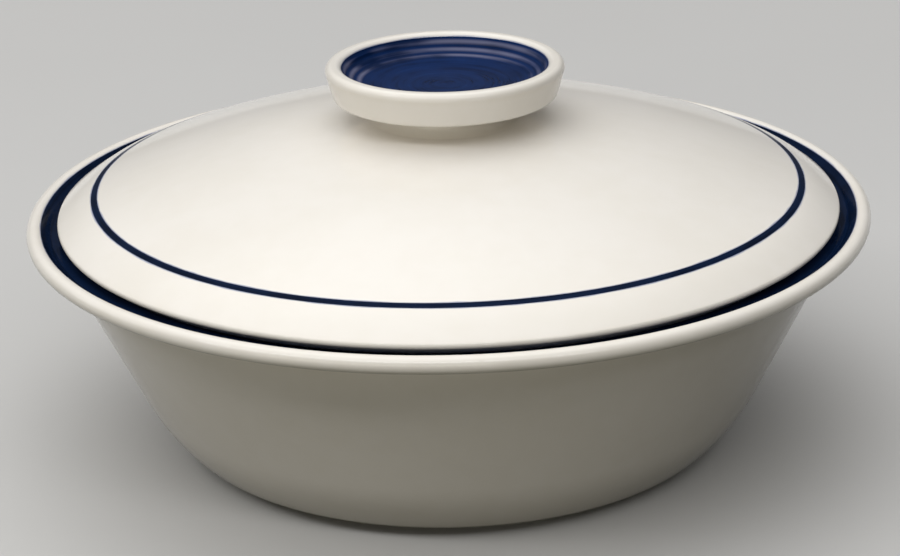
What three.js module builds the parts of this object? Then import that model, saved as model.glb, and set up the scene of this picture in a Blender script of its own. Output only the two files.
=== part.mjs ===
import * as THREE from 'three';

// Round covered vegetable dish in glazed stoneware: bowl, lid and saucer knob.
// Millimetres, Z up, origin under the centre of the foot ring.
// Every piece is turned, so each is a section outline swung round the Z axis.

// Finish of the facets.
const BODY_FACETS = 56;
const KNOB_FACETS = 40;
const LONG_ARC_STEPS = 5;
const LIP_STEPS = 7;
const SHORT_ARC_STEPS = 3;
const CORNER_STEPS = 2;

// Bowl: outside.
const RIM_RADIUS = 125;
const RIM_HEIGHT = 72.25;
const LIP_ROUND = 2.45;
const LIP_OVERHANG = 10.35;
const LIP_FILLET = 4.5;
const WALL_TOP_SLOPE = THREE.MathUtils.degToRad(75);
const WALL_TOP_ROUND = 60;
const WALL_SLOPE = THREE.MathUtils.degToRad(64.7);
const WALL_THICKNESS = 5;
const BELLY_ROUND = 57.5;
const HEEL_SLOPE = THREE.MathUtils.degToRad(45.7);
const HEEL_ROUND = 8;
const INNER_HEEL_ROUND = 12;

// Bowl: foot ring.
const FOOT_HEIGHT = 2.2;
const FOOT_INSET = 5;
const FOOT_WIDTH = 5;
const FOOT_FLARE = 0.9;

// Bowl: gallery, the step inside the lip that carries the lid.
const GALLERY_DEPTH = 3.65;
const GALLERY_INSET = 16;
const GALLERY_COVE = 2.5;
const GALLERY_EDGE_ROUND = 1.2;
const BAND_TOP_ANGLE = THREE.MathUtils.degToRad(136);
const BAND_TUCK = 3.9;

// Lid.
const LID_GAP = 4.9;
const LID_THICKNESS = 5;
const LID_EDGE_HEIGHT = 3.3;
const LID_EDGE_ROUND = 1.15;
const LID_EDGE_SLOPE = THREE.MathUtils.degToRad(37);
const SEAT_INSET = 3.6;
const LINE_INSET = 10.25;
const LINE_WIDTH = 1.85;
const LINE_LEVEL = 10;
const DOME_RISE = 19.9;

// Lid: locating flange that drops inside the throat of the bowl.
const FLANGE_CLEARANCE = 1.5;
const FLANGE_DEPTH = 6;
const FLANGE_WIDTH = 4.2;
const FLANGE_ROUND = 1.2;
const FLANGE_FILLET = 3.5;

// Knob: a small saucer on a neck, luted to the crown of the lid.
const KNOB_RADIUS = 35.2;
const KNOB_HEIGHT = 17.1;
const KNOB_LIP_ROUND = 2;
const KNOB_CREST = 1;
const KNOB_TAPER = 2.2;
const KNOB_EDGE_ROUND = 1.3;
const SAUCER_DEPTH = 10.15;
const SAUCER_UNDERCUT = 0.8;
const NECK_RADIUS = 19.5;
const NECK_TOP_FILLET = 2.2;
const NECK_FOOT_FILLET = 3;
const WELL_DEPTH = 6.6;
const WELL_EDGE_ANGLE = THREE.MathUtils.degToRad(154);

// Fired colour.
const GLAZE_DEPTH = 0.6;
const WHITE_COLOUR = '#efebe1';
const BLUE_COLOUR = '#16275c';
const GLAZE_ROUGHNESS = 0.16;

const QUARTER_TURN = Math.PI / 2;
const HALF_TURN = Math.PI;
const SAME_POINT = 1e-6;

/** Section point: x is the radius from the axis, y the height. */
function at(radius, height) {
  return new THREE.Vector2(radius, height);
}

/** Section point at an angle on a circle, measured from the outward level. */
function onCircle(centre, radius, angle) {
  return at(centre.x + radius * Math.cos(angle), centre.y + radius * Math.sin(angle));
}

/** Points along a circular arc, both ends included. */
function arc(centre, radius, start, end, steps) {
  const point = (_, step) => onCircle(centre, radius, THREE.MathUtils.lerp(start, end, step / steps));
  return Array.from({ length: steps + 1 }, point);
}

/** Points that round off the corner between two straight runs. */
function rounded(before, corner, after, radius, steps) {
  const back = before.clone().sub(corner).normalize();
  const ahead = after.clone().sub(corner).normalize();
  const halfAngle = Math.acos(THREE.MathUtils.clamp(back.dot(ahead), -1, 1)) / 2;
  const bisector = back.clone().add(ahead).normalize();
  const centre = corner.clone().addScaledVector(bisector, radius / Math.sin(halfAngle));
  const tangent = radius / Math.tan(halfAngle);
  const first = corner.clone().addScaledVector(back, tangent).sub(centre).angle();
  const last = corner.clone().addScaledVector(ahead, tangent).sub(centre).angle();
  const turn = THREE.MathUtils.euclideanModulo(last - first + HALF_TURN, HALF_TURN + HALF_TURN) - HALF_TURN;
  return arc(centre, radius, first, first + turn, steps);
}

/** One outline from runs of points, without repeated points. */
function joined(...runs) {
  const isNew = (point, index, all) => index === 0 || point.distanceTo(all[index - 1]) > SAME_POINT;
  return runs.flat().filter(isNew);
}

/** Where two straight lines cross, each given by a point and a direction. */
function crossing(first, firstWay, second, secondWay) {
  const along = second.clone().sub(first).cross(secondWay) / firstWay.cross(secondWay);
  return first.clone().addScaledVector(firstWay, along);
}

/** Piece swung round the Z axis from its section outline. */
function turned(name, outline, facets, colour) {
  const geometry = new THREE.LatheGeometry(outline, facets);
  geometry.rotateX(QUARTER_TURN);
  const material = new THREE.MeshStandardMaterial({ color: colour, roughness: GLAZE_ROUGHNESS, metalness: 0 });
  const mesh = new THREE.Mesh(geometry, material);
  mesh.name = name;
  return mesh;
}

// Lip and wall line.
const lipCentre = at(RIM_RADIUS - LIP_ROUND, RIM_HEIGHT - LIP_ROUND);
const lipUnderside = lipCentre.y - LIP_ROUND;
const wallTop = at(RIM_RADIUS - LIP_OVERHANG, lipUnderside);
const wallWay = onCircle(at(0, 0), 1, WALL_SLOPE);

// The outward normal of a slope stands a quarter turn clockwise from its upward way.
const wallNormal = WALL_SLOPE - QUARTER_TURN;
const wallTopNormal = WALL_TOP_SLOPE - QUARTER_TURN;
const heelNormal = HEEL_SLOPE - QUARTER_TURN;

// Under the lip the wall bends into a steeper slope, which leaves room for the fillet above it.
const bendTop = onCircle(wallTop, -LIP_FILLET, WALL_TOP_SLOPE);
const bendCentre = onCircle(bendTop, -WALL_TOP_ROUND, wallTopNormal);
const bendFoot = onCircle(bendCentre, WALL_TOP_ROUND, wallNormal);

// Belly and heel are arcs that run tangent from the underside into the wall.
const heelCentreHeight = FOOT_HEIGHT + HEEL_ROUND;
const bellyCentreHeight = heelCentreHeight + (HEEL_ROUND - BELLY_ROUND) * Math.sin(heelNormal);
const wallFootHeight = bellyCentreHeight + BELLY_ROUND * Math.sin(wallNormal);
const wallFoot = bendFoot.clone().addScaledVector(wallWay, (wallFootHeight - bendFoot.y) / wallWay.y);
const bellyCentre = at(wallFoot.x - BELLY_ROUND * Math.cos(wallNormal), bellyCentreHeight);
const heelCentre = onCircle(bellyCentre, BELLY_ROUND - HEEL_ROUND, heelNormal);

// Foot ring.
const footOuter = heelCentre.x - FOOT_INSET;
const footInner = footOuter - FOOT_WIDTH;
const floorHeight = FOOT_HEIGHT + WALL_THICKNESS;

// Gallery inside the lip, and the blue band that lines it.
const galleryHeight = RIM_HEIGHT - GALLERY_DEPTH;
const throatRadius = RIM_RADIUS - GALLERY_INSET;
const bandTop = onCircle(lipCentre, LIP_ROUND, BAND_TOP_ANGLE);
const bandWay = onCircle(at(0, 0), 1, BAND_TOP_ANGLE + QUARTER_TURN);
const lidRadius = bandTop.x - LID_GAP;
const bandEnd = at(lidRadius - BAND_TUCK, galleryHeight);
const coveCorner = crossing(bandTop, bandWay, bandEnd, at(1, 0));
const bandFace = joined(
  [bandTop],
  rounded(bandTop, coveCorner, bandEnd, GALLERY_COVE, SHORT_ARC_STEPS),
  [bandEnd],
);
const bandRootTop = onCircle(lipCentre, LIP_ROUND - GLAZE_DEPTH, BAND_TOP_ANGLE);
const bandRootEnd = at(bandEnd.x, bandEnd.y - GLAZE_DEPTH);
const coveRootCorner = crossing(bandRootTop, bandWay, bandRootEnd, at(1, 0));
const bandRoot = joined(
  [bandRootTop],
  rounded(bandRootTop, coveRootCorner, bandRootEnd, GALLERY_COVE + GLAZE_DEPTH, SHORT_ARC_STEPS),
  [bandRootEnd],
);

// Inside of the wall, parallel to the outside, and the upright throat above it.
const innerBellyRound = BELLY_ROUND - WALL_THICKNESS;
const innerWallFoot = onCircle(bellyCentre, innerBellyRound, wallNormal);
const throatFoot = crossing(innerWallFoot, wallWay, at(throatRadius, galleryHeight), at(0, 1));
const throatTop = at(throatRadius, galleryHeight);

// The inside corner is fuller than the heel outside, so that a spoon can follow it.
const innerHeelDrop = floorHeight + INNER_HEEL_ROUND - bellyCentre.y;
const innerHeelReach = Math.sqrt((innerBellyRound - INNER_HEEL_ROUND) ** 2 - innerHeelDrop ** 2);
const innerHeelCentre = at(bellyCentre.x + innerHeelReach, bellyCentre.y + innerHeelDrop);
const innerHeelNormal = Math.atan2(innerHeelDrop, innerHeelReach);

const bowlOutline = joined(
  [at(0, FOOT_HEIGHT), at(footInner - FOOT_FLARE, FOOT_HEIGHT), at(footInner, 0), at(footOuter, 0)],
  [at(footOuter + FOOT_FLARE, FOOT_HEIGHT)],
  arc(heelCentre, HEEL_ROUND, -QUARTER_TURN, heelNormal, SHORT_ARC_STEPS),
  arc(bellyCentre, BELLY_ROUND, heelNormal, wallNormal, SHORT_ARC_STEPS),
  arc(bendCentre, WALL_TOP_ROUND, wallNormal, wallTopNormal, CORNER_STEPS),
  rounded(bendTop, wallTop, at(lipCentre.x, lipUnderside), LIP_FILLET, SHORT_ARC_STEPS),
  arc(lipCentre, LIP_ROUND, -QUARTER_TURN, BAND_TOP_ANGLE, LIP_STEPS),
  bandRoot,
  [bandEnd],
  rounded(bandEnd, throatTop, throatFoot, GALLERY_EDGE_ROUND, CORNER_STEPS),
  [throatFoot],
  arc(bellyCentre, innerBellyRound, wallNormal, innerHeelNormal, SHORT_ARC_STEPS),
  arc(innerHeelCentre, INNER_HEEL_ROUND, innerHeelNormal, -QUARTER_TURN, SHORT_ARC_STEPS),
  [at(0, floorHeight)],
);
const bandOutline = joined(bandFace, bandRoot.slice().reverse(), [bandTop]);

// Lid dome: a spherical cap through the crown and the outer edge of the blue line.
const seatHeight = galleryHeight;
const lineOuterRadius = lidRadius - LINE_INSET;
const domeRadius = (lineOuterRadius ** 2 + DOME_RISE ** 2) / (DOME_RISE + DOME_RISE);
const domeCentre = at(0, seatHeight + LINE_LEVEL + DOME_RISE - domeRadius);
const domeAngle = (radius, cap) => Math.acos(radius / cap);
const lineOuterAngle = domeAngle(lineOuterRadius, domeRadius);
const lineInnerAngle = domeAngle(lineOuterRadius - LINE_WIDTH, domeRadius);
const lineFace = arc(domeCentre, domeRadius, lineOuterAngle, lineInnerAngle, 1);
const lineRoot = arc(domeCentre, domeRadius - GLAZE_DEPTH, lineOuterAngle, lineInnerAngle, 1);

// Neck of the knob: a fillet at either end takes at most half of its height.
const neckRise = KNOB_HEIGHT - SAUCER_DEPTH - SAUCER_UNDERCUT;
const neckTopFillet = Math.min(NECK_TOP_FILLET, neckRise / 2);
const neckFootFillet = Math.min(NECK_FOOT_FILLET, neckRise / 2);

// Crown seat: a small flat on the dome, as wide as the spread foot of the knob's neck.
const crownRadius = NECK_RADIUS + neckFootFillet;
const crownAngle = domeAngle(crownRadius, domeRadius);
const crownHeight = onCircle(domeCentre, domeRadius, crownAngle).y;

// Shoulder between the line and the rounded edge of the lid.
const edgeCentre = at(lidRadius - LID_EDGE_ROUND, seatHeight + LID_EDGE_HEIGHT);
const edgeTopAngle = QUARTER_TURN - LID_EDGE_SLOPE;
const shoulderLow = onCircle(edgeCentre, LID_EDGE_ROUND, edgeTopAngle);
const shoulderTop = lineFace[0];
const shoulderCorner = crossing(
  shoulderTop,
  onCircle(at(0, 0), 1, lineOuterAngle - QUARTER_TURN),
  shoulderLow,
  onCircle(at(0, 0), 1, edgeTopAngle + QUARTER_TURN),
);
const shoulder = new THREE.QuadraticBezierCurve(shoulderLow, shoulderCorner, shoulderTop);

// Bevel under the edge: it rises from the flat seat, so that the edge hangs clear of the gallery.
const bevelFoot = at(lidRadius - SEAT_INSET, seatHeight);
const bevelRun = edgeCentre.clone().sub(bevelFoot);
const bevelSlope = bevelRun.angle() - Math.asin(LID_EDGE_ROUND / bevelRun.length());
const edgeLowAngle = bevelSlope - QUARTER_TURN;

// Underside of the lid: seat, locating flange, hollow dome.
const flangeOuter = throatRadius - FLANGE_CLEARANCE;
const flangeInner = flangeOuter - FLANGE_WIDTH;
const flangeFoot = seatHeight - FLANGE_DEPTH;
const hollowRadius = domeRadius - LID_THICKNESS;
const hollowCorner = onCircle(domeCentre, hollowRadius, domeAngle(flangeInner, hollowRadius));
const hollowStart = onCircle(domeCentre, hollowRadius, domeAngle(flangeInner - FLANGE_FILLET, hollowRadius));
const hollowFillet = new THREE.QuadraticBezierCurve(
  hollowStart,
  hollowCorner,
  at(flangeInner, hollowCorner.y - FLANGE_FILLET),
);
const flangeInnerFoot = at(flangeInner, flangeFoot);
const flangeOuterFoot = at(flangeOuter, flangeFoot);
const flangeRoot = at(flangeOuter, seatHeight);

const lidOutline = joined(
  arc(domeCentre, hollowRadius, QUARTER_TURN, domeAngle(hollowStart.x, hollowRadius), LONG_ARC_STEPS),
  hollowFillet.getPoints(SHORT_ARC_STEPS),
  rounded(hollowCorner, flangeInnerFoot, flangeOuterFoot, FLANGE_ROUND, CORNER_STEPS),
  rounded(flangeInnerFoot, flangeOuterFoot, flangeRoot, FLANGE_ROUND, CORNER_STEPS),
  [flangeRoot, bevelFoot],
  arc(edgeCentre, LID_EDGE_ROUND, edgeLowAngle, edgeTopAngle, LONG_ARC_STEPS),
  shoulder.getPoints(SHORT_ARC_STEPS),
  lineRoot,
  arc(domeCentre, domeRadius, lineInnerAngle, crownAngle, LONG_ARC_STEPS),
  [at(0, crownHeight)],
);
const lineOutline = joined(lineFace, lineRoot.slice().reverse(), [lineFace[0]]);

// Knob: saucer, neck and well.
const crestHeight = crownHeight + KNOB_HEIGHT;
const knobLipHeight = crestHeight - KNOB_LIP_ROUND;
const knobLipOuter = at(KNOB_RADIUS - KNOB_LIP_ROUND, knobLipHeight);
const knobLipInner = at(knobLipOuter.x - KNOB_CREST, knobLipHeight);
const saucerFoot = at(KNOB_RADIUS - KNOB_TAPER, crestHeight - SAUCER_DEPTH);
const neckTop = at(NECK_RADIUS, crownHeight + neckRise);
const neckFoot = at(NECK_RADIUS, crownHeight);
const crownEdge = at(crownRadius, crownHeight);
const saucerSide = at(KNOB_RADIUS, knobLipHeight);

// The well is one hollow round from the lip down to its flat floor.
const wellEdge = onCircle(knobLipInner, KNOB_LIP_ROUND, WELL_EDGE_ANGLE);
const wellFloor = crestHeight - WELL_DEPTH;
const wellRound = (wellEdge.y - wellFloor) / (1 - Math.sin(WELL_EDGE_ANGLE));
const wellCentre = onCircle(wellEdge, wellRound, WELL_EDGE_ANGLE);
const wellStart = WELL_EDGE_ANGLE - HALF_TURN;
const wellFace = arc(wellCentre, wellRound, wellStart, -QUARTER_TURN, LONG_ARC_STEPS);
const wellRoot = arc(wellCentre, wellRound + GLAZE_DEPTH, wellStart, -QUARTER_TURN, LONG_ARC_STEPS);
const taperAngle = Math.atan2(KNOB_TAPER, knobLipHeight - saucerFoot.y);

const knobOutline = joined(
  [at(0, crownHeight)],
  rounded(crownEdge, neckFoot, neckTop, neckFootFillet, SHORT_ARC_STEPS),
  rounded(neckFoot, neckTop, saucerFoot, neckTopFillet, CORNER_STEPS),
  rounded(neckTop, saucerFoot, saucerSide, KNOB_EDGE_ROUND, CORNER_STEPS),
  arc(knobLipOuter, KNOB_LIP_ROUND, -taperAngle, QUARTER_TURN, SHORT_ARC_STEPS),
  arc(knobLipInner, KNOB_LIP_ROUND, QUARTER_TURN, WELL_EDGE_ANGLE, CORNER_STEPS),
  wellRoot,
  [at(0, wellFloor - GLAZE_DEPTH)],
);
const wellOutline = joined(
  [at(0, wellFloor - GLAZE_DEPTH)],
  wellRoot.slice().reverse(),
  wellFace,
  [at(0, wellFloor)],
);

const dish = new THREE.Group();
dish.name = 'covered_vegetable_dish';
dish.add(
  turned('bowl', bowlOutline, BODY_FACETS, WHITE_COLOUR),
  turned('rim_band', bandOutline, BODY_FACETS, BLUE_COLOUR),
  turned('lid', lidOutline, BODY_FACETS, WHITE_COLOUR),
  turned('lid_line', lineOutline, BODY_FACETS, BLUE_COLOUR),
  turned('knob', knobOutline, KNOB_FACETS, WHITE_COLOUR),
  turned('well_glaze', wellOutline, KNOB_FACETS, BLUE_COLOUR),
);

export default dish;
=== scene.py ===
"""Round covered vegetable dish in white and cobalt glazed stoneware.

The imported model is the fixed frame. Its turned pieces are modelled again as smooth meshes in
the same place, dressed with procedural glazes, and stood on a pale floor in soft studio light.
Sizes are in millimetres, and become metres where a mesh point or a lamp is placed.
"""

import logging
import math
from dataclasses import dataclass
from enum import Enum
from typing import NamedTuple

import bmesh
import bpy
from mathutils import Matrix, Vector
from mathutils.geometry import interpolate_bezier


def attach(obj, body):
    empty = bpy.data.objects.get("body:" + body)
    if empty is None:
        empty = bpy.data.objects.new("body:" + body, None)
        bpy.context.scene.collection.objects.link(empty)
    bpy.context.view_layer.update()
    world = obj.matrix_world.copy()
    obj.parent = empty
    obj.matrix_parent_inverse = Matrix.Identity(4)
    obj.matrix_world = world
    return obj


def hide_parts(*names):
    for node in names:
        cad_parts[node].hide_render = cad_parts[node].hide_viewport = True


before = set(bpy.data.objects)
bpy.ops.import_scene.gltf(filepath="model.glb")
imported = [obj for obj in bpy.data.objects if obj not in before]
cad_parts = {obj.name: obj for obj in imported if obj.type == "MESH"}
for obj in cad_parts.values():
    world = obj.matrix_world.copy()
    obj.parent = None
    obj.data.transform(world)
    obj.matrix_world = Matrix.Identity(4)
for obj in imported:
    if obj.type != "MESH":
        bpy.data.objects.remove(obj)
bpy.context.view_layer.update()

LOG = logging.getLogger("covered_dish")
MM = 0.001
QUARTER = math.pi / 2.0
NOISE_MIDDLE = 0.5

# Steps of the turned meshes, round the axis and along arcs, lines and curves of a section.
TURN_STEPS = 256
ARC_STEP = math.radians(6.0)
ARC_RUN = 3.5
ARC_LEAST = 3
LINE_RUN = 4.0 * ARC_RUN
CURVE_RUN = ARC_RUN / 4.0
CURVE_LEAST = 2
CURVE_PULL = 2.0 / 3.0
SUPPORT = 0.35
SUPPORTED = 4.0 * SUPPORT
SHARP_ANGLE = math.radians(40.0)
WELD = 1e-6

Span = tuple[float, float]
Triple = tuple[float, float, float]
Paint = Triple | bpy.types.NodeSocket


class Body(Enum):
    """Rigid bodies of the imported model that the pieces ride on."""

    BOWL = "bowl"
    LID = "lid"


class Slot(Enum):
    """Material slots of the record; nothing in this script uses them."""

    WHITE = "white_glaze"
    COBALT = "cobalt_glaze"


class Ring(NamedTuple):
    """A circle round the axis of the dish, by its radius and height in millimetres."""

    radius: float
    height: float


class Grain(NamedTuple):
    """Noise of a finish, by its features in one unit of length and its octaves of finer noise."""

    scale: float
    detail: float


@dataclass(frozen=True)
class Rings:
    """Shallow rings that a turning tool leaves, in millimetres along a section."""

    count: int = 3
    pitch: float = 2.8
    height: float = 0.18
    steps: int = 96

    def lift(self, run: float) -> float:
        """Work out the relief of the rings.

        Args:
            run: Length along the section from where the rings start.

        Returns:
            Height of the relief there.
        """
        if run >= self.count * self.pitch:
            return 0.0
        return self.height * math.sin(math.pi * run / self.pitch) ** 2

    def crests(self, points: list[Vector]) -> tuple[Ring, ...]:
        """Find the circles along the tops of the rings.

        Args:
            points: Points of the section, from where the rings start.

        Returns:
            One circle for each ring.
        """
        found: list[Ring] = []
        run = 0.0
        next_crest = self.pitch / 2.0
        for before, point in zip(points, points[1:]):
            run += (point - before).length
            if len(found) < self.count and run > next_crest:
                found.append(Ring(*point))
                next_crest += self.pitch
        return tuple(found)


def at(radius: float, height: float) -> Vector:
    """Point of a section, by radius and height."""
    return Vector((radius, height))


def heading(angle: float) -> Vector:
    """Unit vector at an angle from the outward level in the section plane."""
    return Vector((math.cos(angle), math.sin(angle)))


def crossing(first: Vector, way: Vector, second: Vector, other_way: Vector) -> Vector:
    """Find where two straight lines of a section cross.

    Args:
        first: A point on the first line.
        way: Direction of the first line.
        second: A point on the second line.
        other_way: Direction of the second line.

    Returns:
        The common point of both lines.
    """
    return first + way * ((second - first).cross(other_way) / way.cross(other_way))


class Section:
    """Half section of a turned piece: a chain of edges that is drawn, then spun round Z."""

    def __init__(self, start: Vector) -> None:
        """Start the chain with its first vertex.

        Args:
            start: First point of the outline.
        """
        self.mesh = bmesh.new()
        self.tip = self.mesh.verts.new(self._place(start))

    @staticmethod
    def _place(point: Vector) -> Vector:
        """Point of the section in the frame, in metres."""
        return Vector((point.x * MM, 0.0, point.y * MM))

    @property
    def here(self) -> Vector:
        """The last point drawn, in millimetres."""
        return at(self.tip.co.x / MM, self.tip.co.z / MM)

    def step(self, point: Vector) -> "Section":
        """Extrude the last vertex to a new point.

        Args:
            point: Where the new edge ends.

        Returns:
            This section, so that strokes can be chained.
        """
        grown = bmesh.ops.extrude_vert_indiv(self.mesh, verts=[self.tip])
        self.tip = grown["verts"][0]
        bmesh.ops.translate(self.mesh, verts=[self.tip], vec=self._place(point) - self.tip.co)
        return self

    def line(self, end: Vector) -> "Section":
        """Draw a straight run, with short steps at both ends that keep its shading flat.

        Args:
            end: Where the run ends.

        Returns:
            This section.
        """
        start = self.here
        run = end - start
        if run.length > SUPPORTED:
            steps = int(run.length / LINE_RUN) + 1
            self.step(start + run.normalized() * SUPPORT)
            for index in range(1, steps):
                self.step(start + run * (index / steps))
            self.step(end - run.normalized() * SUPPORT)
        return self.step(end) if run.length > WELD / MM else self

    def arc(self, centre: Vector, turn: float) -> "Section":
        """Spin the last vertex along a circular arc.

        Args:
            centre: Centre of the arc.
            turn: Angle of the arc, positive when it turns left.

        Returns:
            This section.
        """
        reach = (self.here - centre).length
        steps = math.ceil(max(abs(turn) / ARC_STEP, abs(turn) * reach / ARC_RUN, ARC_LEAST))
        spun = bmesh.ops.spin(
            self.mesh, geom=[self.tip], cent=self._place(centre), axis=(0.0, -1.0, 0.0),
            angle=turn, steps=steps, use_merge=False, use_duplicate=False,
        )
        self.tip = next(item for item in spun["geom_last"] if isinstance(item, bmesh.types.BMVert))
        return self

    def rounded(self, corner: Vector, after: Vector, radius: float) -> "Section":
        """Draw to a corner and round it off.

        Args:
            corner: The corner between this run and the next.
            after: A point on the run that follows.
            radius: Radius of the rounding.

        Returns:
            This section, at the end of the rounding.
        """
        back = (self.here - corner).normalized()
        ahead = (after - corner).normalized()
        half = back.angle(ahead) / 2.0
        centre = corner + (back + ahead).normalized() * (radius / math.sin(half))
        self.line(corner + back * (radius / math.tan(half)))
        return self.arc(centre, math.copysign(math.pi - 2.0 * half, ahead.cross(back)))

    def curve(self, corner: Vector, end: Vector) -> "Section":
        """Draw a smooth curve that leaves towards a corner and arrives from it.

        Args:
            corner: Where the two end tangents meet.
            end: Where the curve ends.

        Returns:
            This section.
        """
        start = self.here
        leave = start.lerp(corner, CURVE_PULL)
        arrive = end.lerp(corner, CURVE_PULL)
        count = math.ceil((end - start).length / CURVE_RUN) + CURVE_LEAST
        for point in interpolate_bezier(start, leave, arrive, end, count)[1:]:
            self.step(point)
        return self

    def ringed(self, leave: Vector, arrive: Vector, end: Vector, rings: Rings) -> "Section":
        """Draw a smooth curve that starts with shallow turning rings.

        Args:
            leave: Handle of the curve where it starts.
            arrive: Handle of the curve where it ends.
            end: Where the curve ends.
            rings: The rings, which rise to the right of the curve.

        Returns:
            This section.
        """
        points = interpolate_bezier(self.here, leave, arrive, end, rings.steps)
        run = 0.0
        for before, point, after in zip(points, points[1:], points[2:]):
            run += (point - before).length
            way = (after - before).normalized()
            self.step(point + at(way.y, -way.x) * rings.lift(run))
        return self.step(end)

    def turned(self, name: str) -> bpy.types.Object:
        """Spin the finished section round the Z axis into a closed piece.

        Args:
            name: Name of the piece.

        Returns:
            The new object, at the origin, with its place in its mesh.
        """
        bm = self.mesh
        bmesh.ops.remove_doubles(bm, verts=bm.verts, dist=WELD)
        bmesh.ops.spin(
            bm, geom=bm.verts[:] + bm.edges[:], cent=(0.0, 0.0, 0.0), axis=(0.0, 0.0, 1.0),
            angle=math.tau, steps=TURN_STEPS, use_merge=True, use_duplicate=False,
        )
        bmesh.ops.remove_doubles(bm, verts=bm.verts, dist=WELD)
        bmesh.ops.recalc_face_normals(bm, faces=bm.faces)
        data = bpy.data.meshes.new(name)
        bm.to_mesh(data)
        bm.free()
        data.shade_smooth()
        data.set_sharp_from_angle(angle=SHARP_ANGLE)
        piece = bpy.data.objects.new(name, data)
        bpy.context.scene.collection.objects.link(piece)
        return piece


class Wire:
    """A node's value socket that takes part in Python expressions."""

    def __init__(self, nodes: "Nodes", socket: bpy.types.NodeSocket) -> None:
        """Wrap a socket.

        Args:
            nodes: The tree that owns the socket.
            socket: An output socket.
        """
        self.nodes = nodes
        self.socket = socket

    def _math(self, operation: str, *values: "Wire | float") -> "Wire":
        """Add a Math node on the given values."""
        node = self.nodes.node("ShaderNodeMath", {"operation": operation}, dict(enumerate(values)))
        return Wire(self.nodes, node.outputs[0])

    def __add__(self, other: "Wire | float") -> "Wire":
        """Sum."""
        return self._math("ADD", self, other)

    __radd__ = __add__

    def __sub__(self, other: "Wire | float") -> "Wire":
        """Difference."""
        return self._math("SUBTRACT", self, other)

    def __rsub__(self, other: float) -> "Wire":
        """Difference from a number."""
        return self._math("SUBTRACT", other, self)

    def __mul__(self, other: "Wire | float") -> "Wire":
        """Product."""
        return self._math("MULTIPLY", self, other)

    __rmul__ = __mul__

    def __truediv__(self, other: "Wire | float") -> "Wire":
        """Quotient."""
        return self._math("DIVIDE", self, other)

    def __rtruediv__(self, other: float) -> "Wire":
        """Quotient of a number by this value."""
        return self._math("DIVIDE", other, self)

    def __pow__(self, other: float) -> "Wire":
        """Power."""
        return self._math("POWER", self, other)

    def rise(self, low: float, high: float) -> "Wire":
        """Smooth step.

        Args:
            low: Value that gives 0.
            high: Value that gives 1.

        Returns:
            The eased value between 0 and 1.
        """
        settings = {"interpolation_type": "SMOOTHSTEP"}
        sockets = {"Value": self, "From Min": low, "From Max": high}
        node = self.nodes.node("ShaderNodeMapRange", settings, sockets)
        return Wire(self.nodes, node.outputs[0])


class Nodes:
    """Node tree of a material or of the room, emptied to be built anew."""

    def __init__(self, tree: bpy.types.NodeTree, coordinates: str) -> None:
        """Empty the tree and give it coordinates.

        Args:
            tree: The tree.
            coordinates: Name of the coordinates that its patterns follow.
        """
        self.tree = tree
        self.tree.nodes.clear()
        self.place = self.node("ShaderNodeTexCoord").outputs[coordinates]
        parts = self.node("ShaderNodeSeparateXYZ", {}, {0: self.place})
        self.x, self.y, self.z = (Wire(self, socket) for socket in parts.outputs)

    def towards(self, axis: Triple) -> Wire:
        """How far the coordinates reach along an axis."""
        across, along, up = axis
        return self.x * across + self.y * along + self.z * up

    def node(
        self, kind: str, settings: dict | None = None, sockets: dict | None = None
    ) -> bpy.types.Node:
        """Add one node.

        Args:
            kind: Node type.
            settings: Properties of the node, set before its sockets.
            sockets: Values or links of its inputs, by name or index.

        Returns:
            The new node.
        """
        node = self.tree.nodes.new(kind)
        for key, value in (settings or {}).items():
            setattr(node, key, value)
        for key, value in (sockets or {}).items():
            source = value.socket if isinstance(value, Wire) else value
            if isinstance(source, bpy.types.NodeSocket):
                self.tree.links.new(source, node.inputs[key])
            else:
                node.inputs[key].default_value = source
        return node


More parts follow.
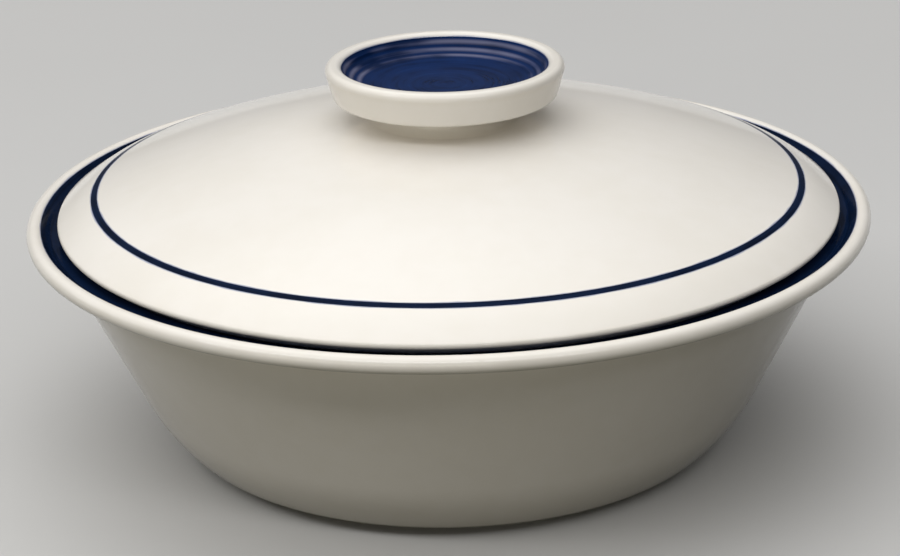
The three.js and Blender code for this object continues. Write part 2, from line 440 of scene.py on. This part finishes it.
class Shader(Nodes):
    """Material around a Principled shader, on object coordinates."""

    # Sockets of a Mix node that blends colours: share, both colours, and the blend.
    MIX_INPUTS = (0, 6, 7)
    MIX_OUTPUT = 2

    def __init__(self, name: str) -> None:
        """Make the material with its shader.

        Args:
            name: Name of the material.
        """
        self.material = bpy.data.materials.new(name)
        self.material.use_nodes = True
        super().__init__(self.material.node_tree, "Object")
        self.surface = self.node("ShaderNodeBsdfPrincipled")
        self.node("ShaderNodeOutputMaterial", {}, {"Surface": self.surface.outputs[0]})
        self.radius = (self.x * self.x + self.y * self.y) ** 0.5

    def noise(self, grain: Grain, vector: bpy.types.NodeSocket | None = None) -> Wire:
        """Noise between 0 and 1.

        Args:
            grain: Scale and detail of the noise.
            vector: Coordinates, or the object's own.

        Returns:
            The noise value.
        """
        sockets = {"Vector": vector or self.place, "Scale": grain.scale, "Detail": grain.detail}
        return Wire(self, self.node("ShaderNodeTexNoise", {}, sockets).outputs[0])

    def mix(self, share: Wire, low: Paint, high: Paint) -> bpy.types.NodeSocket:
        """Blend two colours.

        Args:
            share: Share of the second colour.
            low: First colour, or a socket that carries it.
            high: Second colour, or a socket that carries it.

        Returns:
            The blended colour's socket.
        """
        values: list[object] = [share]
        for paint in (low, high):
            values.append(paint if isinstance(paint, bpy.types.NodeSocket) else (*paint, 1.0))
        sockets = dict(zip(self.MIX_INPUTS, values))
        return self.node("ShaderNodeMix", {"data_type": "RGBA"}, sockets).outputs[self.MIX_OUTPUT]

    def ring_distance(self, ring: Ring) -> Wire:
        """Measure how far the surface is from a circle round the axis.

        Args:
            ring: The circle.

        Returns:
            The distance in metres.
        """
        across = self.radius - ring.radius * MM
        above = self.z - ring.height * MM
        return (across * across + above * above) ** 0.5

    def finish(
        self, colour: bpy.types.NodeSocket, roughness: Wire, height: Wire,
        constants: dict[str, float],
    ) -> bpy.types.Material:
        """Connect the surface.

        Args:
            colour: Base colour socket.
            roughness: Roughness value.
            height: Relief in metres.
            constants: Values of other sockets of the shader that are the same all over.

        Returns:
            The finished material.
        """
        bump = self.node("ShaderNodeBump", {}, {"Strength": 1.0, "Distance": 1.0, "Height": height})
        links = {"Base Color": colour, "Roughness": roughness.socket, "Normal": bump.outputs[0]}
        for key, socket in links.items():
            self.tree.links.new(socket, self.surface.inputs[key])
        for key, value in constants.items():
            self.surface.inputs[key].default_value = value
        return self.material


@dataclass(frozen=True)
class WhiteGlaze:
    """Warm white glaze over clay.

    It drifts in tone, thins on edges, takes up cobalt beside a band, and leaves the clay bare
    below a height. Lengths are in millimetres.
    """

    name: str
    cobalt_edges: tuple[Ring, ...]
    thin_edges: tuple[Ring, ...]
    bare_below: float = 0.0
    white: Triple = (0.865, 0.828, 0.772)
    cream: Triple = (0.825, 0.784, 0.712)
    thin: Triple = (0.735, 0.672, 0.560)
    bled: Triple = (0.120, 0.170, 0.360)
    clay: Triple = (0.455, 0.345, 0.235)
    dark_clay: Triple = (0.3276, 0.2484, 0.1692)
    drift: Grain = Grain(24.0, 3.0)
    cloud: Grain = Grain(150.0, 2.0)
    peel: Grain = Grain(430.0, 1.0)
    sway: Grain = Grain(48.0, 1.0)
    grit: Grain = Grain(2600.0, 2.0)
    drift_share: float = 0.7
    cream_span: Span = (0.36, 0.66)
    cream_share: float = 0.55
    thin_from: float = 0.2
    thin_width: float = 2.2
    thin_share: float = 0.02
    thin_cloud: float = 0.2
    bleed_width: float = 0.55
    bleed_share: float = 0.75
    bare_wander: float = 0.7
    bare_blur: float = 0.12
    grit_span: Span = (0.38, 0.62)
    roughness: float = 0.085
    cloud_roughness: float = 0.05
    clay_roughness: float = 0.7
    peel_height: float = 0.009
    sway_height: float = 0.045
    grit_height: float = 0.06
    ior: float = 1.5

    def material(self) -> bpy.types.Material:
        """Make the glaze.

        Returns:
            The material.
        """
        shader = Shader(self.name)
        cloud = shader.noise(self.cloud)
        grit = shader.noise(self.grit)
        tone = shader.noise(self.drift) * self.drift_share + cloud * (1.0 - self.drift_share)
        colour = shader.mix(tone.rise(*self.cream_span) * self.cream_share, self.white, self.cream)
        for ring in self.thin_edges:
            near = 1.0 - shader.ring_distance(ring).rise(self.thin_from * MM, self.thin_width * MM)
            share = near * (cloud * self.thin_cloud + self.thin_share)
            colour = shader.mix(share, colour, self.thin)
        for ring in self.cobalt_edges:
            reach = shader.ring_distance(ring) + (cloud - NOISE_MIDDLE) * (self.bleed_width * MM)
            share = (1.0 - reach.rise(0.0, self.bleed_width * MM)) * self.bleed_share
            colour = shader.mix(share, colour, self.bled)
        level = shader.z + (cloud - NOISE_MIDDLE) * (self.bare_wander * MM)
        low = self.bare_below - self.bare_blur
        high = self.bare_below + self.bare_blur
        bare = 1.0 - level.rise(low * MM, high * MM)
        clay = shader.mix(grit.rise(*self.grit_span), self.clay, self.dark_clay)
        roughness = self.roughness + self.cloud_roughness * cloud + bare * self.clay_roughness
        peel = shader.noise(self.peel) * (self.peel_height * MM)
        sway = shader.noise(self.sway) * (self.sway_height * MM)
        height = (1.0 - bare) * (peel + sway) + bare * (grit * (self.grit_height * MM))
        blend = shader.mix(bare, colour, clay)
        return shader.finish(blend, roughness, height, {"IOR": self.ior})


@dataclass(frozen=True)
class CobaltGlaze:
    """Dark cobalt glaze, banded on with a brush while the piece turned.

    Its strokes run round the axis, and it thins on the crests of turning rings. The lighter crests
    are partly thin glaze and partly a painted sheen that stands in for glints of light on the
    rings.
    Lengths are in millimetres.
    """

    name: str
    stroke: float
    roughness: float = 0.07
    shine: float = 0.02
    deep: Triple = (0.00225, 0.00625, 0.020)
    full: Triple = (0.0040, 0.0120, 0.039)
    washed: Triple = (0.0080, 0.0210, 0.070)
    # Lighter lavender of the ring crests: partly glaze run thin, partly a painted sheen standing in
    # for glints of light on the rings.
    thin: Triple = (0.170, 0.175, 0.270)
    crests: tuple[Ring, ...] = ()
    crest_sheen_width: float = 1.15
    brush: Grain = Grain(1.0, 3.0)
    pools: Grain = Grain(85.0, 2.0)
    peel: Grain = Grain(380.0, 1.0)
    sweep: Grain = Grain(42.0, 1.0)
    hub: float = 4.0
    rake: float = 0.6
    wander: float = 1.1
    stroke_share: float = 0.6
    full_span: Span = (0.36, 0.56)
    washed_span: Span = (0.56, 0.76)
    washed_share: float = 0.6
    sweep_share: float = 0.6
    crest_sheen_span: Span = (0.40, 0.60)
    thin_share: float = 0.8
    pool_roughness: float = 0.05
    peel_height: float = 0.009
    stroke_height: float = 0.016
    ior: float = 1.45

    def _thinned_with_sheen(
        self, shader: Shader, colour: bpy.types.NodeSocket, tone: Wire
    ) -> bpy.types.NodeSocket:
        """Let the glaze run thin over the crests, in patches, in a lighter colour that is partly
        thin glaze and partly a painted sheen of glints on the rings.

        Args:
            shader: The material in the making.
            colour: Colour of the full glaze.
            tone: Brush strokes and pools of the glaze.

        Returns:
            The colour with the crests.
        """
        sheen_patches = shader.noise(self.sweep) * self.sweep_share + tone * (1.0 - self.sweep_share)
        # Paints the crests lighter: partly thin glaze, partly a painted sheen of glints on the
        # rings.
        for ring in self.crests:
            near = 1.0 - shader.ring_distance(ring).rise(0.0, self.crest_sheen_width * MM)
            share = near * sheen_patches.rise(*self.crest_sheen_span) * self.thin_share
            colour = shader.mix(share, colour, self.thin)
        return colour

    def material(self) -> bpy.types.Material:
        """Make the glaze.

        Returns:
            The material.
        """
        shader = Shader(self.name)
        spread = shader.radius + self.hub * MM
        across = (shader.radius + shader.z * self.rake) / (self.stroke * MM)
        round_x = shader.x / spread * self.wander
        round_y = shader.y / spread * self.wander
        sockets = {"X": round_x, "Y": round_y, "Z": across}
        brushed = shader.node("ShaderNodeCombineXYZ", {}, sockets)
        strokes = shader.noise(self.brush, brushed.outputs[0])
        pools = shader.noise(self.pools)
        tone = strokes * self.stroke_share + pools * (1.0 - self.stroke_share)
        colour = shader.mix(tone.rise(*self.full_span), self.deep, self.full)
        colour = shader.mix(tone.rise(*self.washed_span) * self.washed_share, colour, self.washed)
        if self.crests:
            colour = self._thinned_with_sheen(shader, colour, tone)
        roughness = self.roughness + self.pool_roughness * pools
        peel = shader.noise(self.peel) * (self.peel_height * MM)
        height = peel + strokes * (self.stroke_height * MM)
        constants = {"IOR": self.ior, "Specular IOR Level": self.shine}
        return shader.finish(colour, roughness, height, constants)


def dressed(
    piece: bpy.types.Object, finish: bpy.types.Material, body: Body, node: str
) -> bpy.types.Object:
    """Give a piece its finish and its place in the frame.

    Args:
        piece: The new piece.
        finish: Its material.
        body: Body that it moves with.
        node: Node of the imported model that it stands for.

    Returns:
        The piece.
    """
    piece.data.materials.append(finish)
    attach(piece, body.value)
    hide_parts(node)
    return piece


@dataclass
class Bowl:
    """Flared bowl on a foot ring.

    It has a rolled lip, a gallery for the lid and a cobalt band in the cove between them.
    """

    rim_radius: float = 125.0
    rim_height: float = 72.25
    lip_round: float = 2.45
    lip_overhang: float = 10.35
    lip_fillet: float = 4.5
    wall_top_slope: float = math.radians(75.0)
    wall_top_round: float = 60.0
    wall_slope: float = math.radians(64.7)
    wall: float = 5.0
    belly_round: float = 57.5
    heel_slope: float = math.radians(45.7)
    heel_round: float = 8.0
    inner_heel_round: float = 12.0
    foot_height: float = 2.2
    foot_inset: float = 5.0
    foot_width: float = 5.0
    foot_flare: float = 0.9
    foot_edge: float = 0.7
    gallery_depth: float = 3.65
    gallery_inset: float = 16.0
    gallery_cove: float = 2.5
    gallery_edge: float = 1.2
    throat_blend: float = 12.0
    band_top_angle: float = math.radians(136.0)
    band_tuck: float = 3.9
    lid_gap: float = 4.9
    groove: float = 0.6
    inlay: float = 0.5
    bare_height: float = 0.9

    def __post_init__(self) -> None:
        """Work out the points that the sections share."""
        self.lip = at(self.rim_radius - self.lip_round, self.rim_height - self.lip_round)
        self.lip_foot = at(self.lip.x, self.lip.y - self.lip_round)
        self.wall_top = at(self.rim_radius - self.lip_overhang, self.lip_foot.y)
        self.wall_normal = self.wall_slope - QUARTER
        self.heel_normal = self.heel_slope - QUARTER
        belly_drop = (self.heel_round - self.belly_round) * math.sin(self.heel_normal)
        belly_height = self.foot_height + self.heel_round + belly_drop
        foot_of_wall = at(0.0, belly_height + self.belly_round * math.sin(self.wall_normal))
        wall_way = heading(self.wall_slope)
        bend_top = self.wall_top - heading(self.wall_top_slope) * self.lip_fillet
        self.bend = bend_top - heading(self.wall_top_slope - QUARTER) * self.wall_top_round
        self.bend_foot = self.bend + heading(self.wall_normal) * self.wall_top_round
        self.wall_foot = crossing(self.bend_foot, wall_way, foot_of_wall, at(1.0, 0.0))
        self.belly = self.wall_foot - heading(self.wall_normal) * self.belly_round
        self.heel = self.belly + heading(self.heel_normal) * (self.belly_round - self.heel_round)
        self.seat = self.rim_height - self.gallery_depth
        self.throat = self.rim_radius - self.gallery_inset
        self.band_top = self.lip + heading(self.band_top_angle) * self.lip_round
        self.lid_radius = self.band_top.x - self.lid_gap
        self.band_end = at(self.lid_radius - self.band_tuck, self.seat)
        inner_belly = self.belly_round - self.wall
        self.inner_wall_foot = self.belly + heading(self.wall_normal) * inner_belly
        throat_top = at(self.throat, self.seat)
        self.throat_foot = crossing(self.inner_wall_foot, wall_way, throat_top, at(0.0, 1.0))

    def _cove(self, depth: float) -> tuple[Vector, Vector, Vector]:
        """Points of the cove under the band.

        Args:
            depth: How far below the glazed surface the points lie.

        Returns:
            Top, corner and end of the cove at that depth.
        """
        top = self.lip + heading(self.band_top_angle) * (self.lip_round - depth)
        end = at(self.band_end.x, self.band_end.y - depth)
        return top, crossing(top, heading(self.band_top_angle + QUARTER), end, at(1.0, 0.0)), end

    def body(self) -> bpy.types.Object:
        """Model the stoneware of the bowl.

        Returns:
            The piece.
        """
        foot_out = self.heel.x - self.foot_inset
        foot_in = foot_out - self.foot_width
        floor = self.foot_height + self.wall
        inner_belly = self.belly_round - self.wall
        drop = floor + self.inner_heel_round - self.belly.y
        reach = math.sqrt((inner_belly - self.inner_heel_round) ** 2 - drop ** 2)
        inner_heel = self.belly + at(reach, drop)
        inner_normal = math.atan2(drop, reach)
        root_top, root_corner, root_end = self._cove(self.groove)
        heel_foot = at(self.heel.x, self.foot_height)
        foot = (
            at(foot_in - self.foot_flare, self.foot_height), at(foot_in, 0.0), at(foot_out, 0.0),
            at(foot_out + self.foot_flare, self.foot_height), heel_foot,
        )
        section = Section(at(0.0, self.foot_height))
        for corner, after in zip(foot, foot[1:]):
            section.rounded(corner, after, self.foot_edge)
        section.line(heel_foot)
        section.arc(self.heel, self.heel_slope)
        section.arc(self.belly, self.wall_slope - self.heel_slope)
        section.line(self.bend_foot)
        section.arc(self.bend, self.wall_top_slope - self.wall_slope)
        section.rounded(self.wall_top, self.lip_foot, self.lip_fillet)
        section.line(self.lip_foot)
        section.arc(self.lip, self.band_top_angle + QUARTER)
        section.step(root_top).rounded(root_corner, root_end, self.gallery_cove + self.groove)
        section.line(root_end).step(self.band_end)
        section.rounded(at(self.throat, self.seat), self.throat_foot, self.gallery_edge)
        section.rounded(self.throat_foot, self.inner_wall_foot, self.throat_blend)
        section.line(self.inner_wall_foot)
        section.arc(self.belly, inner_normal - self.wall_normal)
        section.arc(inner_heel, -QUARTER - inner_normal)
        section.line(at(0.0, floor))
        return section.turned("bowl_stoneware")

    def band(self) -> bpy.types.Object:
        """Model the cobalt band that lines the cove.

        Returns:
            The piece.
        """
        _, corner, _ = self._cove(0.0)
        root_top, root_corner, root_end = self._cove(self.inlay)
        section = Section(self.band_top)
        section.rounded(corner, self.band_end, self.gallery_cove).line(self.band_end)
        section.step(root_end).rounded(root_corner, root_top, self.gallery_cove + self.inlay)
        section.line(root_top).step(self.band_top)
        return section.turned("rim_band_cobalt")

    def build(self) -> list[bpy.types.Object]:
        """Model and dress the bowl.

        Returns:
            Its pieces.
        """
        edges = (Ring(*self.band_top),)
        crests = (Ring(self.lip.x, self.rim_height), Ring(self.rim_radius, self.lip.y))
        white = WhiteGlaze("white_glaze_bowl", edges, crests, bare_below=self.bare_height)
        cobalt = CobaltGlaze("cobalt_glaze_rim", stroke=1.6)
        return [
            dressed(self.body(), white.material(), Body.BOWL, "bowl"),
            dressed(self.band(), cobalt.material(), Body.BOWL, "rim_band"),
        ]


@dataclass
class Lid:
    """Domed lid with a thin edge, a flange under it and a cobalt line round its shoulder."""

    bowl: Bowl
    thickness: float = 5.0
    edge_height: float = 3.3
    edge_round: float = 1.15
    edge_slope: float = math.radians(37.0)
    seat_inset: float = 3.6
    seat_round: float = 0.5
    line_inset: float = 10.25
    line_width: float = 1.85
    line_level: float = 10.0
    dome_rise: float = 19.9
    flange_clearance: float = 1.5
    flange_depth: float = 6.0
    flange_width: float = 4.2
    flange_round: float = 1.2
    flange_root: float = 0.8
    flange_fillet: float = 3.5
    crown_radius: float = 22.5
    groove: float = 0.6
    inlay: float = 0.5
    bare_height: float = 0.9

    def __post_init__(self) -> None:
        """Work out the points that the sections share."""
        self.radius = self.bowl.lid_radius
        line_outer = self.radius - self.line_inset
        self.dome_round = (line_outer ** 2 + self.dome_rise ** 2) / (2.0 * self.dome_rise)
        self.dome = at(0.0, self.bowl.seat + self.line_level + self.dome_rise - self.dome_round)
        self.line_low = math.acos(line_outer / self.dome_round)
        self.line_high = math.acos((line_outer - self.line_width) / self.dome_round)
        self.crown_angle = math.acos(self.crown_radius / self.dome_round)
        self.crown_height = self.on_dome(self.crown_angle).y

    def on_dome(self, angle: float, depth: float = 0.0) -> Vector:
        """Point of the dome at an angle from the level, at a depth under its surface."""
        return self.dome + heading(angle) * (self.dome_round - depth)

    def body(self) -> bpy.types.Object:
        """Model the stoneware of the lid.

        Returns:
            The piece.
        """
        seat = self.bowl.seat
        hollow = self.dome_round - self.thickness
        outer = self.bowl.throat - self.flange_clearance
        inner = outer - self.flange_width
        foot = seat - self.flange_depth
        fillet_angle = math.acos((inner - self.flange_fillet) / hollow)
        corner = self.on_dome(math.acos(inner / hollow), self.thickness)
        edge = at(self.radius - self.edge_round, seat + self.edge_height)
        edge_top = QUARTER - self.edge_slope
        bevel_foot = at(self.radius - self.seat_inset, seat)
        bevel = edge - bevel_foot
        bevel_slope = math.atan2(bevel.y, bevel.x) - math.asin(self.edge_round / bevel.length)
        bevel_end = edge + heading(bevel_slope - QUARTER) * self.edge_round
        shoulder_low = edge + heading(edge_top) * self.edge_round
        shoulder_top = self.on_dome(self.line_low)
        shoulder_corner = crossing(
            shoulder_top, heading(self.line_low - QUARTER),
            shoulder_low, heading(edge_top + QUARTER),
        )
        section = Section(self.on_dome(QUARTER, self.thickness))
        section.arc(self.dome, fillet_angle - QUARTER)
        section.curve(corner, at(inner, corner.y - self.flange_fillet))
        section.rounded(at(inner, foot), at(outer, foot), self.flange_round)
        section.rounded(at(outer, foot), at(outer, seat), self.flange_round)
        section.rounded(at(outer, seat), at(self.radius, seat), self.flange_root)
        section.rounded(bevel_foot, bevel_end, self.seat_round)
        section.line(bevel_end)
        section.arc(edge, edge_top + QUARTER - bevel_slope)
        section.curve(shoulder_corner, shoulder_top)
        section.step(self.on_dome(self.line_low, self.groove))
        section.arc(self.dome, self.line_high - self.line_low)
        section.step(self.on_dome(self.line_high))
        section.arc(self.dome, self.crown_angle - self.line_high)
        section.line(at(0.0, self.crown_height))
        return section.turned("lid_stoneware")

    def line(self) -> bpy.types.Object:
        """Model the cobalt line.

        Returns:
            The piece.
        """
        section = Section(self.on_dome(self.line_low))
        section.arc(self.dome, self.line_high - self.line_low)
        section.step(self.on_dome(self.line_high, self.inlay))
        section.arc(self.dome, self.line_low - self.line_high)
        section.step(self.on_dome(self.line_low))
        return section.turned("lid_line_cobalt")

    def build(self) -> list[bpy.types.Object]:
        """Model and dress the lid.

        Returns:
            Its pieces.
        """
        edges = (Ring(*self.on_dome(self.line_low)), Ring(*self.on_dome(self.line_high)))
        crests = (Ring(self.radius, self.bowl.seat + self.edge_height),)
        bare = self.bowl.seat - self.flange_depth + self.bare_height
        white = WhiteGlaze("white_glaze_lid", edges, crests, bare_below=bare)
        cobalt = CobaltGlaze("cobalt_glaze_line", stroke=0.9)
        return [
            dressed(self.body(), white.material(), Body.LID, "lid"),
            dressed(self.line(), cobalt.material(), Body.LID, "lid_line"),
        ]


@dataclass
class Knob:
    """Knob shaped as a small saucer on a neck, with turning rings in its cobalt well."""

    lid: Lid
    radius: float = 35.2
    height: float = 17.1
    lip_round: float = 2.0
    crest: float = 1.0
    taper: float = 2.2
    edge_round: float = 1.3
    saucer_depth: float = 10.15
    undercut: float = 0.8
    neck_radius: float = 19.5
    neck_top_fillet: float = 2.2
    neck_foot_fillet: float = 3.0
    well_depth: float = 6.6
    well_edge_angle: float = math.radians(154.0)
    groove: float = 0.6
    inlay: float = 0.5
    well_dip: float = 0.35
    well_side: float = 6.5
    well_middle: float = 22.0
    rings: Rings = Rings()
    smooth: Rings = Rings(count=0, steps=48)

    def __post_init__(self) -> None:
        """Work out the points that the sections share."""
        self.crest_height = self.lid.crown_height + self.height
        self.lip_outer = at(self.radius - self.lip_round, self.crest_height - self.lip_round)
        self.lip_inner = self.lip_outer - at(self.crest, 0.0)
        self.well_edge = self.lip_inner + heading(self.well_edge_angle) * self.lip_round
        self.well_floor = self.crest_height - self.well_depth

    def _well(self, depth: float) -> tuple[Vector, Vector, Vector, Vector]:
        """Curve of the well from its edge to its middle.

        Args:
            depth: How far below the glazed surface the curve lies.

        Returns:
            Start, first handle, second handle and end of the curve.
        """
        start = self.well_edge - heading(self.well_edge_angle) * depth
        end = at(0.0, self.well_floor - self.well_dip - depth)
        leave = start + heading(self.well_edge_angle + QUARTER) * self.well_side
        return start, leave, end + at(self.well_middle, 0.0), end

    def body(self) -> bpy.types.Object:
        """Model the stoneware of the knob.

        Returns:
            The piece.
        """
        base = self.lid.crown_height
        saucer = at(self.radius - self.taper, self.crest_height - self.saucer_depth)
        neck_top = at(self.neck_radius, saucer.y - self.undercut)
        lean = math.atan2(self.taper, self.lip_outer.y - saucer.y)
        side_top = self.lip_outer + heading(-lean) * self.lip_round
        neck_foot = at(self.neck_radius + self.neck_foot_fillet, base)
        section = Section(at(0.0, base))
        section.line(neck_foot)
        section.arc(neck_foot + at(0.0, self.neck_foot_fillet), -QUARTER)
        section.rounded(neck_top, saucer, self.neck_top_fillet)
        section.rounded(saucer, side_top, self.edge_round)
        section.line(side_top)
        section.arc(self.lip_outer, QUARTER + lean)
        section.line(self.lip_inner + at(0.0, self.lip_round))
        section.arc(self.lip_inner, self.well_edge_angle - QUARTER)
        start, leave, arrive, end = self._well(self.groove)
        section.step(start).ringed(leave, arrive, end, self.smooth)
        return section.turned("knob_stoneware")

    def well_glaze(self) -> bpy.types.Object:
        """Model the cobalt glaze that lines the well.

        Returns:
            The piece.
        """
        root, root_leave, root_arrive, root_end = self._well(self.inlay)
        start, leave, arrive, end = self._well(0.0)
        section = Section(root_end)
        section.ringed(root_arrive, root_leave, root, self.smooth)
        section.step(start).ringed(leave, arrive, end, self.rings)
        return section.turned("knob_well_cobalt")

    def build(self) -> list[bpy.types.Object]:
        """Model and dress the knob.

        Returns:
            Its pieces.
        """
        edges = (Ring(*self.well_edge),)
        lips = (Ring(self.lip_outer.x, self.crest_height), Ring(self.radius, self.lip_outer.y))
        white = WhiteGlaze("white_glaze_knob", edges, lips)
        # The well glaze is painted lighter along these crests, partly as thin glaze and partly as a
        # painted sheen of glints on the rings.
        crests = self.rings.crests(interpolate_bezier(*self._well(0.0), self.rings.steps))
        cobalt = CobaltGlaze(
            "cobalt_glaze_well", stroke=1.5, roughness=0.22, shine=0.03, crests=crests,
            deep=(0.002375, 0.0114, 0.0494), full=(0.0038, 0.0190, 0.0836),
            washed=(0.0076, 0.0323, 0.1330),
        )
        return [
            dressed(self.body(), white.material(), Body.LID, "knob"),
            dressed(self.well_glaze(), cobalt.material(), Body.LID, "well_glaze"),
        ]


@dataclass(frozen=True)
class Softbox:
    """An oblong lamp with a soft face, aimed at the dish."""

    name: str
    place: Triple
    width: float
    depth: float
    power: float
    colour: Triple = (1.0, 1.0, 1.0)

    def hang(self, aim: Vector) -> bpy.types.Object:
        """Hang the lamp.

        Args:
            aim: Point that it faces.

        Returns:
            The lamp.
        """
        data = bpy.data.lights.new(self.name, "AREA")
        data.shape = "RECTANGLE"
        data.size = self.width
        data.size_y = self.depth
        data.energy = self.power
        data.color = self.colour
        lamp = bpy.data.objects.new(self.name, data)
        lamp.location = self.place
        lamp.rotation_euler = (aim - lamp.location).to_track_quat("-Z", "Y").to_euler()
        bpy.context.scene.collection.objects.link(lamp)
        return lamp


@dataclass
class Studio:
    """Pale floor, soft lamps and the camera of the photograph."""

    floor_size: float = 12.0
    floor_colour: Triple = (0.58, 0.575, 0.565)
    floor_shade: Triple = (0.57, 0.565, 0.555)
    floor_bounce: Triple = (0.034, 0.030, 0.014)
    floor_cloud: Grain = Grain(3.0, 4.0)
    floor_span: Span = (0.35, 0.65)
    floor_tooth: Grain = Grain(900.0, 2.0)
    floor_roughness: float = 0.7
    tooth_roughness: float = 0.1
    tooth_height: float = 0.02
    floor_shine: float = 0.2
    room: float = 0.03
    horizon: float = 0.27
    ceiling: float = 0.765
    ceiling_axis: Triple = (-0.12, 0.11, 0.985)
    ceiling_span: Span = (0.3, 1.0)
    panel: float = 1.13
    panel_axis: Triple = (-0.12, 0.18, 0.976)
    panel_span: Span = (0.75, 0.98)
    behind: float = 0.13
    behind_span: Span = (0.1, 0.8)
    aim: Triple = (0.0, 0.0, 0.07)
    camera_back: float = 710.2
    camera_height: float = 318.28
    camera_pitch: float = math.radians(20.943)
    camera_roll: float = math.radians(1.419)
    lens: float = 100.45
    sensor: float = 36.0
    lamps: tuple[Softbox, ...] = (
        Softbox("key_softbox", (-0.30, -1.10, 1.45), width=3.6, depth=0.35, power=17.0),
        Softbox(
            "fill_softbox", (-0.70, -1.95, 0.45), width=2.4, depth=0.5, power=7.8,
            colour=(1.0, 0.965, 0.82),
        ),
        Softbox(
            "side_softbox", (-2.00, 0.35, 0.85), width=1.2, depth=0.8, power=3.0,
            colour=(1.0, 0.985, 0.94),
        ),
    )

    def floor(self) -> bpy.types.Object:
        """Lay the floor.

        Returns:
            The floor.
        """
        bm = bmesh.new()
        bmesh.ops.create_grid(bm, x_segments=1, y_segments=1, size=self.floor_size / 2.0)
        data = bpy.data.meshes.new("floor")
        bm.to_mesh(data)
        bm.free()
        shader = Shader("pale_floor")
        cloud = shader.noise(self.floor_cloud).rise(*self.floor_span)
        tooth = shader.noise(self.floor_tooth)
        bounced = Wire(shader, shader.node("ShaderNodeLightPath").outputs["Is Diffuse Ray"])
        colour = shader.mix(cloud, self.floor_colour, self.floor_shade)
        colour = shader.mix(bounced, colour, self.floor_bounce)
        roughness = self.floor_roughness + self.tooth_roughness * tooth
        height = tooth * (self.tooth_height * MM)
        constants = {"Specular IOR Level": self.floor_shine}
        data.materials.append(shader.finish(colour, roughness, height, constants))
        floor = bpy.data.objects.new("floor", data)
        bpy.context.scene.collection.objects.link(floor)
        return floor

    def light(self) -> None:
        """Hang the lamps and light the room, which is bright overhead and dim in front."""
        for lamp in self.lamps:
            lamp.hang(Vector(self.aim))
        world = bpy.data.worlds.new("room")
        world.use_nodes = True
        room = Nodes(world.node_tree, "Generated")
        overhead = room.towards(self.ceiling_axis).rise(*self.ceiling_span)
        panel = room.towards(self.panel_axis).rise(*self.panel_span)
        behind = room.y.rise(*self.behind_span) * (1.0 - overhead)
        seen = Wire(room, room.node("ShaderNodeLightPath").outputs["Is Camera Ray"])
        glow = overhead * self.ceiling + panel * self.panel + behind * self.behind
        strength = self.room + glow + seen * self.horizon
        sockets = {"Color": (1.0, 1.0, 1.0, 1.0), "Strength": strength}
        light = room.node("ShaderNodeBackground", {}, sockets)
        room.node("ShaderNodeOutputWorld", {}, {"Surface": light.outputs[0]})
        bpy.context.scene.world = world

    def camera(self) -> bpy.types.Object:
        """Set up the camera where the photograph was taken.

        Returns:
            The camera.
        """
        data = bpy.data.cameras.new("photo_camera")
        data.sensor_fit = "HORIZONTAL"
        data.sensor_width = self.sensor
        data.lens = self.lens
        camera = bpy.data.objects.new("photo_camera", data)
        pitch = Matrix.Rotation(QUARTER - self.camera_pitch, 4, "X")
        roll = Matrix.Rotation(-self.camera_roll, 4, "Z")
        place = Matrix.Translation((0.0, -self.camera_back * MM, self.camera_height * MM))
        camera.matrix_world = place @ (pitch @ roll)
        bpy.context.scene.collection.objects.link(camera)
        bpy.context.scene.camera = camera
        return camera

    def build(self) -> None:
        """Set the scene up for the render."""
        self.floor()
        self.light()
        self.camera()
        bpy.context.scene.view_settings.view_transform = "Standard"


def main() -> None:
    """Build the studio, the bowl, the lid and the knob."""
    logging.basicConfig(level=logging.INFO, format="%(name)s: %(message)s")
    Studio().build()
    bowl = Bowl()
    lid = Lid(bowl)
    knob = Knob(lid)
    for assembly in (bowl, lid, knob):
        for piece in assembly.build():
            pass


if __name__ == "__main__":
    main()
